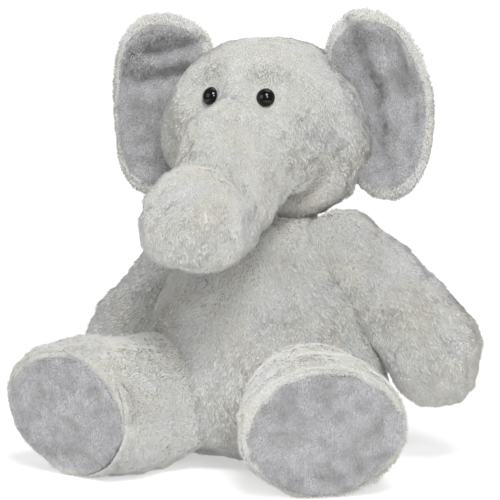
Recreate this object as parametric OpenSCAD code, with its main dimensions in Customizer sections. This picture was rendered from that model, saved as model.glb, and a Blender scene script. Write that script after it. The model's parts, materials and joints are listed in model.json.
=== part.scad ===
// Seated stuffed elephant: a plush skin cut in sewn panels over fibre stuffing.
// Millimetres. +Z is up, the elephant faces -Y and its left side is +X.
// The origin is the middle of the flat seat, on the floor.

/* [Plush] */
// Thickness of the plush skin with its pile pressed down
skin = 3; // [2:0.5:3.5]
// Room left between parts that move past each other
clearance = 2; // [1.5:0.25:3]

/* [Torso] */
// Height from the seat to the top of the torso
torso_h = 179; // [176:1:180]
// Width across the hips
hip_w = 182; // [170:1:190]
// Depth across the belly
belly_d = 154; // [145:1:160]

/* [Head] */
// Height of the middle of the head above the seat
head_z = 252; // [251:1:254]
// Width across the cheeks
head_w = 156; // [150:1:160]
// Height from chin to crown
head_h = 131; // [126:1:132]
// Depth from the back of the head to the middle of its widest section
head_back = 64; // [60:1:68]

/* [Trunk] */
// Radius of the trunk where it leaves the face
trunk_root_r = 41; // [39:0.5:42]
// Radius of the trunk's tip
trunk_tip_r = 36; // [34:0.5:37]
// Reach of the trunk's tip in front of its root
trunk_reach = 88; // [80:1:92]
// Drop of the trunk's tip below its root
trunk_drop = 44; // [40:1:48]

/* [Eyes] */
// Diameter of each eye
eye_d = 13.5; // [12:0.5:15]
// Distance between the middles of the eyes
eye_gap = 44; // [40:1:48]

/* [Ears] */
// Height of each ear
ear_h = 142; // [138:1:144]
// Width of each ear's full oval
ear_w = 80; // [76:1:84]
// Thickness of each ear at its middle
ear_t = 15; // [13:0.5:17]

/* [Arms] */
// Length of each arm from its shoulder joint to its tip
arm_l = 147; // [142:1:150]
// Radius of each arm at the shoulder
arm_root_r = 30; // [27:0.5:31]
// Radius of each arm near its tip
arm_tip_r = 36; // [34:0.5:37]
// Angle of each arm below the horizontal
arm_drop = 49; // [47:1:51]

/* [Legs] */
// Length of each leg from its hip joint to its sole
leg_l = 82; // [78:1:84]
// Radius of each leg at the hip
leg_root_r = 45; // [43:0.5:46]
// Width of each foot
foot_w = 118; // [112:1:120]
// Height of each foot
foot_h = 99; // [95:1:99]
// Angle of each leg outwards from straight ahead
leg_splay = 30; // [28:1:33]

/* [Tail] */
// Length of the tail
tail_l = 54; // [45:1:60]
// Diameter of the tail
tail_d = 11; // [9:0.5:12]

/* [Hidden] */

PLUSH = "#c8c8c3";
LINING = "#a5a5aa";
STUFFING = "#f4f3ee";
BAG = "#d9d6cb";
EYE = "#101012";
UP = [0, 0, 1];

// Places of the joints, on the elephant's left side where there are two
neck = [0, 0, 185];
trunk_root = [0, -56, 232];
trunk_dip = 25.8;
shoulder = [60, 0, 160];
hip = [56, -62, 50];
ear_middle = [90, 16, 268];
tail_root = [0, 65, 40];

// Directions that the limbs take from their joints
trunk_way = [0, -cos(trunk_dip), -sin(trunk_dip)];
arm_back = 8;
arm_way = [cos(arm_drop) * cos(arm_back), cos(arm_drop) * sin(arm_back), -sin(arm_drop)];
leg_way = [sin(leg_splay), -cos(leg_splay), 0];
tail_drop = 26;
tail_way = [0, cos(tail_drop), -sin(tail_drop)];

// Travel of the limbs that the torso makes room for, in degrees about the X axis
arm_swings = [-30, -20, -10, 0, 10, 20];
leg_lifts = [2, -6, -12];

// Counts of points round each form
TORSO_COLUMNS = 44;
HEAD_COLUMNS = 28;
TRUNK_COLUMNS = 16;
LIMB_COLUMNS = 14;
LEG_COLUMNS = 16;
EAR_COLUMNS = 24;
TAIL_COLUMNS = 8;

// ---- Grids of points, rows from root to tip, columns anticlockwise seen from the tip ----

function unit(v) = v / norm(v);
function turned(v, a) = [v.x, v.y * cos(a) - v.z * sin(a), v.y * sin(a) + v.z * cos(a)];
function block(grid, r0, r1, c0, c1) =
    let (n = len(grid[0])) [for (i = [r0:r1]) [for (j = [c0:c1]) grid[i][(j + n) % n]]];
function listed(grid) = [for (row = grid) each row];

// One ring of a form: middle, way along the form, half width, height above and below the middle
function ring(middle, way, across, above, below, columns, jowl = 0) =
    let (side = unit(cross(way, UP)), rise = cross(side, way))
    [for (j = [0:columns - 1])
        let (a = 360 * j / columns, c = cos(a))
        middle + across * sin(a) * (1 - jowl * c) * side + (c > 0 ? above : below) * c * rise];
function round_ring(middle, way, r, columns) = ring(middle, way, r, r, r, columns);

// Rings of the ball that starts a limb at its joint, from its pole up to its widest ring
function ball_rings(joint, way, r, columns) =
    [for (a = [0, 30, 60]) round_ring(joint - way * r * cos(a), way, r * sin(a), columns)];

function kept(f, p) = p[f[0]] != p[f[1]] && p[f[1]] != p[f[2]] && p[f[0]] != p[f[2]];
function surface_faces(rows, columns, shift, inward) =
    [for (i = [0:rows - 2], j = [0:columns - 2])
        let (a = i * columns + j + shift, b = a + 1, d = a + columns, c = d + 1)
        each inward ? [[a, b, c], [a, c, d]] : [[a, c, b], [a, d, c]]];
function row_edge_faces(rows, columns) =
    let (n = rows * columns, last = n - columns)
    [for (j = [0:columns - 2])
        each [[j + 1 + n, j, j + 1], [j + 1 + n, j + n, j],
              [last + j + 1 + n, last + j + 1, last + j], [last + j + n, last + j + 1 + n, last + j]]];
function column_edge_faces(rows, columns) =
    let (n = rows * columns)
    [for (i = [0:rows - 2])
        let (a = i * columns, d = a + columns, b = a + columns - 1, c = b + columns)
        each [[a + n, d, a], [a + n, d + n, d], [b + n, b, c], [c + n, b + n, c]]];

// A sewn panel: the space between an outer and an inner grid of the same size
module sewn(outer, inner, hoop = false) {
    rows = len(outer);
    columns = len(outer[0]);
    points = concat(listed(outer), listed(inner));
    faces = concat(
        surface_faces(rows, columns, 0, false),
        surface_faces(rows, columns, rows * columns, true),
        row_edge_faces(rows, columns),
        hoop ? [] : column_edge_faces(rows, columns));
    polyhedron(points, [for (f = faces) if (kept(f, points)) f]);
}

// A stuffed form: everything inside a grid that closes at both ends
module stuffed(grid) {
    whole = block(grid, 0, len(grid) - 1, 0, len(grid[0]));
    points = listed(whole);
    faces = surface_faces(len(whole), len(whole[0]), 0, false);
    polyhedron(points, [for (f = faces) if (kept(f, points)) f]);
}

module panel(outer, inner, r0, r1, c0, c1) {
    sewn(block(outer, r0, r1, c0, c1), block(inner, r0, r1, c0, c1));
}

module hoop_panel(outer, inner, r0, r1) {
    n = len(outer[0]);
    sewn(block(outer, r0, r1, 0, n), block(inner, r0, r1, 0, n), hoop = true);
}

// ---- Arms ----

arm_end = arm_l - arm_tip_r;
function arm_rings(inset) =
    let (root = arm_root_r - inset, tip = arm_tip_r - inset, end = shoulder + arm_way * arm_end)
    concat(
        ball_rings(shoulder, arm_way, root, LIMB_COLUMNS),
        [for (t = [0, 0.25, 0.5, 0.75, 1])
            round_ring(shoulder + arm_way * arm_end * t, arm_way, root + (tip - root) * t, LIMB_COLUMNS)],
        [for (a = [30, 60, 90])
            round_ring(end + arm_way * tip * sin(a), arm_way, tip * cos(a), LIMB_COLUMNS)]);

module arm_panel(c0, c1) {
    outer = arm_rings(0);
    color(PLUSH) panel(outer, arm_rings(skin), 0, len(outer) - 1, c0, c1);
}
module arm_stuffing() {
    color(STUFFING) stuffed(arm_rings(skin));
}

// ---- Legs ----

sole_pitch = 12;
sole_bulge = 4;
// The plush of the leg turns over the foot's edge by this much before it meets the sole
rim_w = 8;
rim_turn = 5;
LEG_RIM = 7;
function leg_tilt(t) = unit(leg_way - UP * tan(sole_pitch) * t);
function leg_rings(inset) =
    let (root = leg_root_r - inset, half_w = foot_w / 2 - inset, half_h = foot_h / 2 - inset,
         end = hip + leg_way * leg_l, face = leg_tilt(1))
    concat(
        ball_rings(hip, leg_way, root, LEG_COLUMNS),
        [for (t = [0, 1/3, 2/3, 1])
            let (w = root + (half_w - root) * t, h = root + (half_h - root) * t)
            ring(hip + leg_way * leg_l * t, leg_tilt(t), w, h, h, LEG_COLUMNS)],
        [ring(end + face * (rim_turn - inset / 2), face, half_w - rim_w, half_h - rim_w, half_h - rim_w,
              LEG_COLUMNS)],
        [for (s = [0.55, 0])
            ring(end + face * (rim_turn + sole_bulge * (1 - s) - inset), face,
                 (half_w - rim_w) * s, (half_h - rim_w) * s, (half_h - rim_w) * s, LEG_COLUMNS)]);

module leg_panel(c0, c1) {
    color(PLUSH) panel(leg_rings(0), leg_rings(skin), 0, LEG_RIM, c0, c1);
}
module sole() {
    outer = leg_rings(0);
    color(LINING) hoop_panel(outer, leg_rings(skin), LEG_RIM, len(outer) - 1);
}
module leg_stuffing() {
    color(STUFFING) stuffed(leg_rings(skin));
}

// ---- Torso: a pear that gives way where a limb presses into it over its travel ----

// Height, half width, half depth and forward shift, as shares of torso_h, hip_w and belly_d
pear = [
    [0, 0.36, 0.34, 0.10], [0.055, 0.44, 0.43, 0.11], [0.16, 0.49, 0.49, 0.12],
    [0.32, 0.50, 0.50, 0.13], [0.48, 0.47, 0.46, 0.13], [0.64, 0.40, 0.39, 0.11],
    [0.78, 0.335, 0.335, 0.08], [0.88, 0.28, 0.29, 0.05], [0.95, 0.205, 0.22, 0.03],
    [0.985, 0.11, 0.13, 0.01]
];
TORSO_HEIGHTS = concat([0, 0.03], [for (i = [1:17]) 0.025 + 0.052 * i], [0.95, 0.985]);
// The row of the torso's grid up to which the pellet bag fills it
BAG_TOP = 6;
function pear_at(h, k) = lookup(h, [for (row = pear) [row[0], row[k]]]);
// Distance from the torso's upright middle line to the pear's side, at angle a from straight ahead
function pear_reach(h, a) =
    let (rx = hip_w * pear_at(h, 1), ry = belly_d * pear_at(h, 2), c = belly_d * pear_at(h, 3),
         qa = pow(sin(a) / rx, 2) + pow(cos(a) / ry, 2),
         qb = -c * cos(a) / (ry * ry),
         qc = pow(c / ry, 2) - 1)
    (-qb + sqrt(qb * qb - qa * qc)) / qa;
// Distance from a point to a tapered limb from a to b
function limb_gap(p, a, b, ra, rb) =
    let (ab = b - a, t = max(0, min(1, (p - a) * ab / (ab * ab))))
    norm(p - a - ab * t) - (ra + (rb - ra) * t);
function near_gap(p) =
    let (q = [abs(p.x), p.y, p.z])
    min(concat(
        [for (s = arm_swings)
            limb_gap(q, shoulder, shoulder + turned(arm_way, s) * arm_end, arm_root_r, arm_tip_r)],
        [for (s = leg_lifts)
            limb_gap(q, hip, hip + turned(leg_way, s) * leg_l, leg_root_r, foot_h / 2 + clearance)]));
function pressed_reach(z, way, limit, r = 4) =
    r >= limit ? limit :
    let (gap = near_gap([way.x * r, way.y * r, z]))
    gap < clearance ? r : pressed_reach(z, way, limit, r + max(gap - clearance, 0.4));
// The share of the pear's reach that the limbs leave, eased twice and then smoothed, so that
// no facet cuts a corner of a limb's room
function around(grid, i, j) =
    let (n = len(grid[0]), top = len(grid) - 1)
    [for (di = [-1:1], dj = [-1:1]) grid[max(0, min(top, i + di))][(j + dj + n) % n]];
function eased(grid) = [for (i = [0:len(grid) - 1]) [for (j = [0:len(grid[0]) - 1]) min(around(grid, i, j))]];
function smoothed(grid) =
    [for (i = [0:len(grid) - 1])
        [for (j = [0:len(grid[0]) - 1]) around(grid, i, j) * [for (k = [1:9]) 1 / 9]]];
function torso_shares() =
    smoothed(eased(eased(
        [for (h = TORSO_HEIGHTS)
            [for (j = [0:TORSO_COLUMNS - 1])
                let (a = 360 * j / TORSO_COLUMNS, free = pear_reach(h, a))
                pressed_reach(h * torso_h, [sin(a), -cos(a)], free) / free]])));
function torso_rings(shares, inset) =
    let (tall = torso_h - 2 * inset)
    concat(
        [[for (j = [0:TORSO_COLUMNS - 1]) [0, 0, inset]]],
        [for (i = [0:len(TORSO_HEIGHTS) - 1])
            [for (j = [0:TORSO_COLUMNS - 1])
                let (a = 360 * j / TORSO_COLUMNS, r = shares[i][j] * pear_reach(TORSO_HEIGHTS[i], a) - inset)
                [r * sin(a), -r * cos(a), inset + TORSO_HEIGHTS[i] * tall]]],
        [[for (j = [0:TORSO_COLUMNS - 1]) [0, 0, inset + tall]]]);
function middle_row(row) = let (z = row[0].z) [for (p = row) [0, 0, z]];

module torso_panel(quarter) {
    shares = torso_shares();
    outer = torso_rings(shares, 0);
    step = TORSO_COLUMNS / 4;
    color(PLUSH)
        panel(outer, torso_rings(shares, skin), 0, len(outer) - 1, quarter * step, (quarter + 1) * step);
}
module torso_stuffing() {
    rings = torso_rings(torso_shares(), skin);
    upper = block(rings, BAG_TOP, len(rings) - 1, 0, TORSO_COLUMNS - 1);
    color(STUFFING) stuffed(concat([middle_row(upper[0])], upper));
}
module pellet_bag() {
    rings = torso_rings(torso_shares(), skin);
    lower = block(rings, 0, BAG_TOP, 0, TORSO_COLUMNS - 1);
    color(BAG) stuffed(concat(lower, [middle_row(lower[BAG_TOP])]));
}
// A folded ribbon caught in the back seam, with no words on it
label_size = [20, 16, 1.2];
label_corner = [24, 44, 34];
module blank_label() {
    color("white") translate(label_corner) cube(label_size);
}
// What holds the head's skin to the torso's: a short plug of fibre on the neck seam
neck_r = 14;
neck_h = 5;
module neck_stuffing() {
    color(STUFFING) translate([0, 0, torso_h + 0.5]) cylinder(h = neck_h, r = neck_r, $fn = 32);
}

// ---- Head: rings stand across the way from the back of the head to the trunk's root ----

// Place behind the middle, middle height above head_z, tilt forwards, half width, half height
head_form = [
    [64, -1, 0, 0, 0], [60, -1, 0, 33, 27], [47, 0, 0, 56, 47], [26, 0, 0, 71, 58],
    [0, 0, 0, 78, 63], [-22, -1, 8, 76, 60], [-35, -5, 17, 65, 52.5], [-42, -12, 25.8, 51, 44]
];
HEAD_RIM = 8;
// How much wider, taller and deeper the head is than the form above
head_wider = head_w / 156;
head_taller = head_h / 126;
head_deeper = head_back / 64;
// How much wider the head is below its middle than above
jowl = 0.14;
socket_r = trunk_root_r + clearance;
socket_rim_back = 17;
function head_rings(inset) =
    let (rim_r = sqrt(pow(socket_r, 2) - pow(socket_rim_back, 2)) - inset,
         rim_back = sqrt(pow(socket_r, 2) - pow(rim_r, 2)))
    concat(
        [for (f = head_form)
            let (way = [0, -cos(f[2]), -sin(f[2])],
                 pole = f[3] == 0,
                 w = pole ? 0 : f[3] * head_wider - inset,
                 h = pole ? 0 : f[4] * head_taller - inset,
                 back = f[0] > 0 ? f[0] * head_deeper - (pole ? inset : 0) : f[0])
            ring([0, back, head_z + f[1]], way, w, h, h, HEAD_COLUMNS, jowl)],
        [round_ring(trunk_root - trunk_way * rim_back, trunk_way, rim_r, HEAD_COLUMNS)]);
function socket_rings(rim_r) =
    let (rim_angle = asin(rim_r / socket_r))
    [for (t = [0.6, 0.3, 0])
        let (a = rim_angle * t)
        round_ring(trunk_root - trunk_way * socket_r * cos(a), trunk_way, socket_r * sin(a), HEAD_COLUMNS)];

module head_panel(c0, c1) {
    color(PLUSH) panel(head_rings(0), head_rings(skin), 0, HEAD_RIM, c0, c1);
}
module head_stuffing() {
    rim_r = sqrt(pow(socket_r, 2) - pow(socket_rim_back, 2)) - skin;
    color(STUFFING) stuffed(concat(head_rings(skin), socket_rings(rim_r)));
}

// ---- Eyes: a domed eye on a shank through the skin, and a washer that locks it inside ----

eye_place = [eye_gap / 2, -57.5, 275];
eye_look = [0.26, -0.93, 0.26];
eye_yaw = atan2(eye_look.x, -eye_look.y);
eye_pitch = acos(eye_look.z / norm(eye_look));
// Radius of the eye's dome as a share of its diameter
eye_roundness = 0.56;
shank_l = 13;
shank_d = 4.5;
washer_d = 10;
washer_t = 1.5;
// How far under the eye's dome the washer's nearer face lies
washer_depth = 10.4;
module facing_eye() {
    translate(eye_place) rotate([0, 0, eye_yaw]) rotate([eye_pitch, 0, 0]) children();
}
module eye() {
    ball_r = eye_d * eye_roundness;
    sink = sqrt(pow(ball_r, 2) - pow(eye_d / 2, 2));
    color(EYE) facing_eye() rotate_extrude($fn = 48) union() {
        intersection() {
            translate([0, -sink]) circle(r = ball_r, $fn = 64);
            square([eye_d, eye_d]);
        }
        translate([0, -shank_l]) square([shank_d / 2, shank_l + 0.5]);
    }
}
module eye_washer() {
    color("white") facing_eye() translate([0, 0, -washer_depth - washer_t]) difference() {
        cylinder(h = washer_t, r = washer_d / 2, $fn = 48);
        translate([0, 0, -1]) cylinder(h = washer_t + 2, r = shank_d / 2, $fn = 48);
    }
}

// ---- Trunk: a bent tube along a curve with four control points ----

trunk_end = trunk_root + [0, -trunk_reach, -trunk_drop];
// The tip's last stretch comes from behind and a little below, so the trunk curls up
trunk_knots = [trunk_root, trunk_root + trunk_way * 31, trunk_end + [0, 40, -8], trunk_end];
tip_flat = 5;
TRUNK_TUBE = 7;
// How much fatter the trunk is half way along than its ends make it
trunk_swell = 3;
function bent(t) =
    let (s = 1 - t)
    trunk_knots[0] * pow(s, 3) + trunk_knots[1] * 3 * s * s * t
    + trunk_knots[2] * 3 * s * t * t + trunk_knots[3] * pow(t, 3);
function bent_way(t) =
    let (s = 1 - t)
    unit((trunk_knots[1] - trunk_knots[0]) * s * s + (trunk_knots[2] - trunk_knots[1]) * 2 * s * t
         + (trunk_knots[3] - trunk_knots[2]) * t * t);
function trunk_rings(inset) =
    let (root = trunk_root_r - inset, tip = trunk_tip_r - inset, way = bent_way(1), cap = tip - tip_flat)
    concat(
        ball_rings(trunk_root, trunk_way, root, TRUNK_COLUMNS),
        [for (i = [0:TRUNK_TUBE - 1])
            let (t = i / (TRUNK_TUBE - 1))
            round_ring(bent(t), bent_way(t), root + (tip - root) * t + trunk_swell * sin(180 * t),
                       TRUNK_COLUMNS)],
        [for (a = [30, 60, 90])
            round_ring(trunk_end + way * cap * sin(a), way, tip * cos(a), TRUNK_COLUMNS)]);

module trunk_panel(c0, c1) {
    outer = trunk_rings(0);
    color(PLUSH) panel(outer, trunk_rings(skin), 0, len(outer) - 1, c0, c1);
}
module trunk_stuffing() {
    color(STUFFING) stuffed(trunk_rings(skin));
}

// ---- Ears: a lens with an oval rim that stops short of the head ----

ear_gap = 4;
// Thin gap between an ear's lining and the wadding behind it
fibre_slack = 0.4;
// How far the ear's rim comes forward of its middle
ear_cup = 7;
// How far the ear's top leans inwards for each unit of its height
ear_lean = 0.1;
// Depth in front of the ear's middle at which its gap to the head is kept
ear_front = 10;
// Distance from the ear's middle at which its edge has come forward by ear_cup
ear_cup_r = 55;
EAR_SHARES = [0, 0.35, 0.65, 0.87, 1];
function head_at(y, k) = lookup(-y, [for (f = head_form) [-f[0], f[k]]]);
function clears_head(p) =
    norm([p.x / (head_at(p.y, 3) * head_wider + ear_gap),
          (p.z - head_z - head_at(p.y, 1)) / (head_at(p.y, 4) * head_taller + ear_gap)]) > 1;
// The rim is a little squarer than an oval, and wider at the top
ear_square = 2.3;
ear_top_wider = 0.07;
function oval_reach(a) =
    let (half_w = ear_w / 2 * (1 + ear_top_wider * sin(a)))
    pow(pow(abs(cos(a)) / half_w, ear_square) + pow(abs(sin(a)) / (ear_h / 2), ear_square), -1 / ear_square);
function ear_reach(a, limit, r = 4) =
    let (p = ear_middle + [(cos(a) - ear_lean * sin(a)) * r, -ear_front, sin(a) * r])
    r >= limit ? limit : clears_head(p) ? ear_reach(a, limit, r + 1) : r - 1;
function ear_rings(side, inset) =
    [for (s = EAR_SHARES)
        [for (j = [0:EAR_COLUMNS - 1])
            let (a = -360 * j / EAR_COLUMNS, r = ear_reach(a, oval_reach(a)) - (inset > 0 ? skin : 0),
                 half = (ear_t / 2 - inset) * sqrt(1 - s * s), bend = -ear_cup * pow(s * r / ear_cup_r, 2))
            ear_middle + [(cos(a) - ear_lean * sin(a)) * r * s, side * half + bend, sin(a) * r * s]]];

module ear_back() {
    color(PLUSH) hoop_panel(ear_rings(1, 0), ear_rings(1, skin), 0, len(EAR_SHARES) - 1);
}
module ear_lining() {
    color(LINING) mirror([0, 1, 0]) hoop_panel(mirrored(ear_rings(-1, 0)), mirrored(ear_rings(-1, skin)),
                                               0, len(EAR_SHARES) - 1);
}
function mirrored(grid) = [for (row = grid) [for (p = row) [p.x, -p.y, p.z]]];
module ear_wadding() {
    back = ear_rings(1, skin);
    front = ear_rings(-1, skin + fibre_slack);
    n = len(EAR_SHARES);
    color(STUFFING) stuffed(concat(back, [for (i = [n - 2:-1:0]) front[i]]));
}

// ---- Tail ----

tail_r = tail_d / 2;
// Share of the tail that is bare plush before its tuft
tuft_share = 0.62;
module tail_skin() {
    bare = tail_l * tuft_share;
    color(PLUSH) stuffed(concat(
        ball_rings(tail_root, tail_way, tail_r, TAIL_COLUMNS),
        [for (t = [0, 0.5, 1]) round_ring(tail_root + tail_way * bare * t, tail_way, tail_r, TAIL_COLUMNS)],
        [round_ring(tail_root + tail_way * bare, tail_way, 0, TAIL_COLUMNS)]));
}
module tail_tuft() {
    start = tail_root + tail_way * tail_l * tuft_share;
    tuft_l = tail_l * (1 - tuft_share);
    color(LINING) stuffed(
        [for (f = [[0, 0], [0, 0.8], [0.3, 1.25], [0.7, 1.1], [1, 0]])
            round_ring(start + tail_way * tuft_l * f[0], tail_way, tail_r * f[1], TAIL_COLUMNS)]);
}

module other_side() {
    mirror([1, 0, 0]) children();
}

torso_panel(0);  // torso_front_left
torso_panel(1);  // torso_back_left
torso_panel(2);  // torso_back_right
torso_panel(3);  // torso_front_right
torso_stuffing();
pellet_bag();
blank_label();
neck_stuffing();
head_panel(-3, 3);  // head_gusset
head_panel(3, 11);  // head_right
head_panel(11, 17);  // chin_panel
head_panel(17, 25);  // head_left
head_stuffing();
eye();  // eye_left
other_side() eye();  // eye_right
eye_washer();  // eye_washer_left
other_side() eye_washer();  // eye_washer_right
trunk_panel(0, 6);  // trunk_right
trunk_panel(6, 10);  // trunk_underside
trunk_panel(10, 16);  // trunk_left
trunk_stuffing();
ear_back();  // ear_left_back
ear_lining();  // ear_left_lining
ear_wadding();  // ear_left_wadding
other_side() ear_back();  // ear_right_back
other_side() ear_lining();  // ear_right_lining
other_side() ear_wadding();  // ear_right_wadding
arm_panel(-3, 4);  // arm_left_upper
arm_panel(4, 11);  // arm_left_under
arm_stuffing();  // arm_left_stuffing
other_side() arm_panel(-3, 4);  // arm_right_upper
other_side() arm_panel(4, 11);  // arm_right_under
other_side() arm_stuffing();  // arm_right_stuffing
leg_panel(-4, 4);  // leg_left_upper
leg_panel(4, 12);  // leg_left_under
sole();  // sole_left
leg_stuffing();  // leg_left_stuffing
other_side() leg_panel(-4, 4);  // leg_right_upper
other_side() leg_panel(4, 12);  // leg_right_under
other_side() sole();  // sole_right
other_side() leg_stuffing();  // leg_right_stuffing
tail_skin();
tail_tuft();
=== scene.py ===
"""A seated stuffed elephant: stuffed skins with a sewn pile, round safety eyes and lined ears.

Sizes are in millimetres until a mesh is made. +Z is up, the elephant faces -Y and its left side is +X.
"""

import sys
import json
import logging
import math
from dataclasses import dataclass, field, replace
from enum import Enum
from typing import Any, Callable, Sequence

import bpy
import numpy as np
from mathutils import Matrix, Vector
from mathutils.bvhtree import BVHTree


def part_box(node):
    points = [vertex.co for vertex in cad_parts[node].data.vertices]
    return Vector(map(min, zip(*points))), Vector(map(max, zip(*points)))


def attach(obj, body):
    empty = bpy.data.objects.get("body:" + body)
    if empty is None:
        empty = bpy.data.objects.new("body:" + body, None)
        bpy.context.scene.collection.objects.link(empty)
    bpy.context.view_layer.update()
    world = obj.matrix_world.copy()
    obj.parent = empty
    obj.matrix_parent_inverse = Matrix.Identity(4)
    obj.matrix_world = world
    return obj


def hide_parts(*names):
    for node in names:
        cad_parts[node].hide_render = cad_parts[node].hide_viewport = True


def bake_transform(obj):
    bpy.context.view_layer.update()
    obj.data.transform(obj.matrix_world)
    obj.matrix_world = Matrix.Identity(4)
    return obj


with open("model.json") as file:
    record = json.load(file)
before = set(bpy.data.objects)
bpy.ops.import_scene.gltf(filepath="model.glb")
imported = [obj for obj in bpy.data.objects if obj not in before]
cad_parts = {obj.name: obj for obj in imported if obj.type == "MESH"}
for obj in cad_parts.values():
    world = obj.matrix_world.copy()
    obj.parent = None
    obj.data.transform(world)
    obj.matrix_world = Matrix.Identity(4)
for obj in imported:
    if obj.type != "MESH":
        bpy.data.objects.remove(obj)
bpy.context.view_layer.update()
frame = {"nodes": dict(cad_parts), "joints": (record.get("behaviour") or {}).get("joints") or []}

MM = 0.001
BAKE_MAP = "OFBake"
Point = tuple[float, float, float]
Field = Callable[[np.ndarray], np.ndarray]
log = logging.getLogger("elephant")


class Side(Enum):
    """The elephant's own left and right. The value is the sign of X on that side."""

    LEFT = 1
    RIGHT = -1

    @property
    def word(self) -> str:
        """The side's name as it stands in the names of bodies and nodes."""
        return self.name.lower()

    def out(self, point: Sequence[float]) -> np.ndarray:
        """A point or way given for the left side, on this side."""
        return np.array([point[0] * self.value, point[1], point[2]], float)


def joint_place(name: str) -> np.ndarray:
    """Where a joint of the frame turns.

    Args:
        name: The joint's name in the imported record.

    Returns:
        Its place in millimetres.
    """
    joint = next(j for j in frame["joints"] if j["name"] == name)
    return np.array(joint["pos_m"], float) / MM


def node_middle(name: str) -> np.ndarray:
    """The middle of a node's box, in millimetres."""
    low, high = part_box(name)
    return np.array((low + high) / 2) / MM


def unit(v: np.ndarray) -> np.ndarray:
    """v, or each row of v, at length one."""
    return v / np.maximum(np.linalg.norm(v, axis=-1, keepdims=True), 1e-9)


# ---------------------------------------------------------------- finishes


def linear(hex_colour: str) -> tuple[float, float, float, float]:
    """An sRGB hex colour as the linear numbers that a shader takes.

    Args:
        hex_colour: Six hex digits after a hash sign.

    Returns:
        Red, green, blue and an alpha of one.
    """
    shares = [int(hex_colour[i:i + 2], 16) / 255 for i in (1, 3, 5)]
    return (*[c / 12.92 if c <= 0.04045 else ((c + 0.055) / 1.055) ** 2.4 for c in shares], 1.0)


def add_node(tree: bpy.types.NodeTree, kind: str, inputs: dict[Any, Any] | None = None, **settings: Any):
    """Adds a shader node.

    Args:
        tree: The material's node tree.
        kind: The node's type name.
        inputs: A value, or another node's output, for each input named or numbered.
        settings: The node's own settings.

    Returns:
        The node.
    """
    node = tree.nodes.new(kind)
    for name, value in settings.items():
        setattr(node, name, value)
    for name, value in (inputs or {}).items():
        if isinstance(value, bpy.types.NodeSocket):
            tree.links.new(value, node.inputs[name])
        else:
            node.inputs[name].default_value = value
    return node


def new_material(name: str) -> tuple[bpy.types.Material, bpy.types.NodeTree, bpy.types.Node]:
    """A material with its tree and its Principled shader."""
    material = bpy.data.materials.new(name)
    material.use_nodes = True
    tree = material.node_tree
    return material, tree, next(n for n in tree.nodes if n.type == "BSDF_PRINCIPLED")


def set_inputs(shader: bpy.types.Node, values: dict[str, Any]) -> None:
    """Sets a shader's own sockets, by name."""
    for name, value in values.items():
        shader.inputs[name].default_value = value


@dataclass(frozen=True)
class Fabric:
    """A knitted plush: fine polyester pile on a knitted ground.

    The eye sees no gloss, a soft bright edge, painted shade at the roots between the tufts, and warm and cool patches
    a few centimetres wide where the pile lies differently.
    """

    name: str
    ground: str
    # root: painted shade, the darker colour at the tufts' roots and in the knit's hollows
    root: str
    cool: str
    warm: str
    patch: float = 34.0
    tone_range: float = 0.12
    sheen: float = 0.25

    def patches(self, tree: bpy.types.NodeTree) -> bpy.types.NodeSocket:
        """The pile's colour from place to place, as warm and cool patches."""
        place = add_node(tree, "ShaderNodeTexCoord").outputs["Object"]
        cloud = add_node(tree, "ShaderNodeTexNoise",
                         {"Vector": place, "Scale": 1 / (self.patch * MM), "Detail": 3.0})
        share = add_node(tree, "ShaderNodeMapRange",
                         {"Value": cloud.outputs["Fac"], "From Min": 0.4, "From Max": 0.68})
        mixed = add_node(tree, "ShaderNodeMix",
                         {0: share.outputs["Result"], 6: linear(self.cool), 7: linear(self.warm)},
                         data_type="RGBA")
        return mixed.outputs[2]

    def pile_material(self) -> bpy.types.Material:
        """The tufts: painted shade darkens each tuft towards its root, and each is a little lighter or darker than
        its neighbours.
        """
        material, tree, shader = new_material(f"{self.name}_pile")
        colour = self.patches(tree)
        tone = add_node(tree, "ShaderNodeAttribute", attribute_name="tone").outputs["Fac"]
        level = add_node(tree, "ShaderNodeMapRange",
                         {"Value": tone, "To Min": 1 - self.tone_range, "To Max": 1.0})
        toned = add_node(tree, "ShaderNodeVectorMath", {0: colour, "Scale": level.outputs["Result"]},
                         operation="SCALE")
        # Painted shade: each tuft takes the root colour at its base, fading to its own colour over the first 55 % of
        # its length
        along = add_node(tree, "ShaderNodeAttribute", attribute_name="along").outputs["Fac"]
        depth = add_node(tree, "ShaderNodeMapRange", {"Value": along, "From Max": 0.55})
        mixed = add_node(tree, "ShaderNodeMix",
                         {0: depth.outputs["Result"], 6: linear(self.root), 7: toned.outputs["Vector"]},
                         data_type="RGBA")
        tree.links.new(mixed.outputs[2], shader.inputs["Base Color"])
        set_inputs(shader, {"Roughness": 0.9, "Specular IOR Level": 0.0})
        return material

    def ground_material(self) -> bpy.types.Material:
        """The knitted ground under the tufts, drawn 2 mm coarse so that its rows show at all, with painted shade in
        its hollows.
        """
        material, tree, shader = new_material(f"{self.name}_ground")
        place = add_node(tree, "ShaderNodeTexCoord").outputs["Object"]
        knit = add_node(tree, "ShaderNodeTexVoronoi", {"Vector": place, "Scale": 1 / (2 * MM)})
        # Painted shade: the knit's hollows, which the bump sinks, take the darker root colour
        mixed = add_node(tree, "ShaderNodeMix",
                         {0: knit.outputs["Distance"], 6: linear(self.root), 7: linear(self.ground)},
                         data_type="RGBA")
        tree.links.new(mixed.outputs[2], shader.inputs["Base Color"])
        raised = add_node(tree, "ShaderNodeBump",
                          {"Height": knit.outputs["Distance"], "Strength": 0.4, "Distance": 0.5 * MM})
        tree.links.new(raised.outputs["Normal"], shader.inputs["Normal"])
        set_inputs(shader, {"Roughness": 0.95, "Specular IOR Level": 0.1, "Sheen Weight": self.sheen})
        return material


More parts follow.
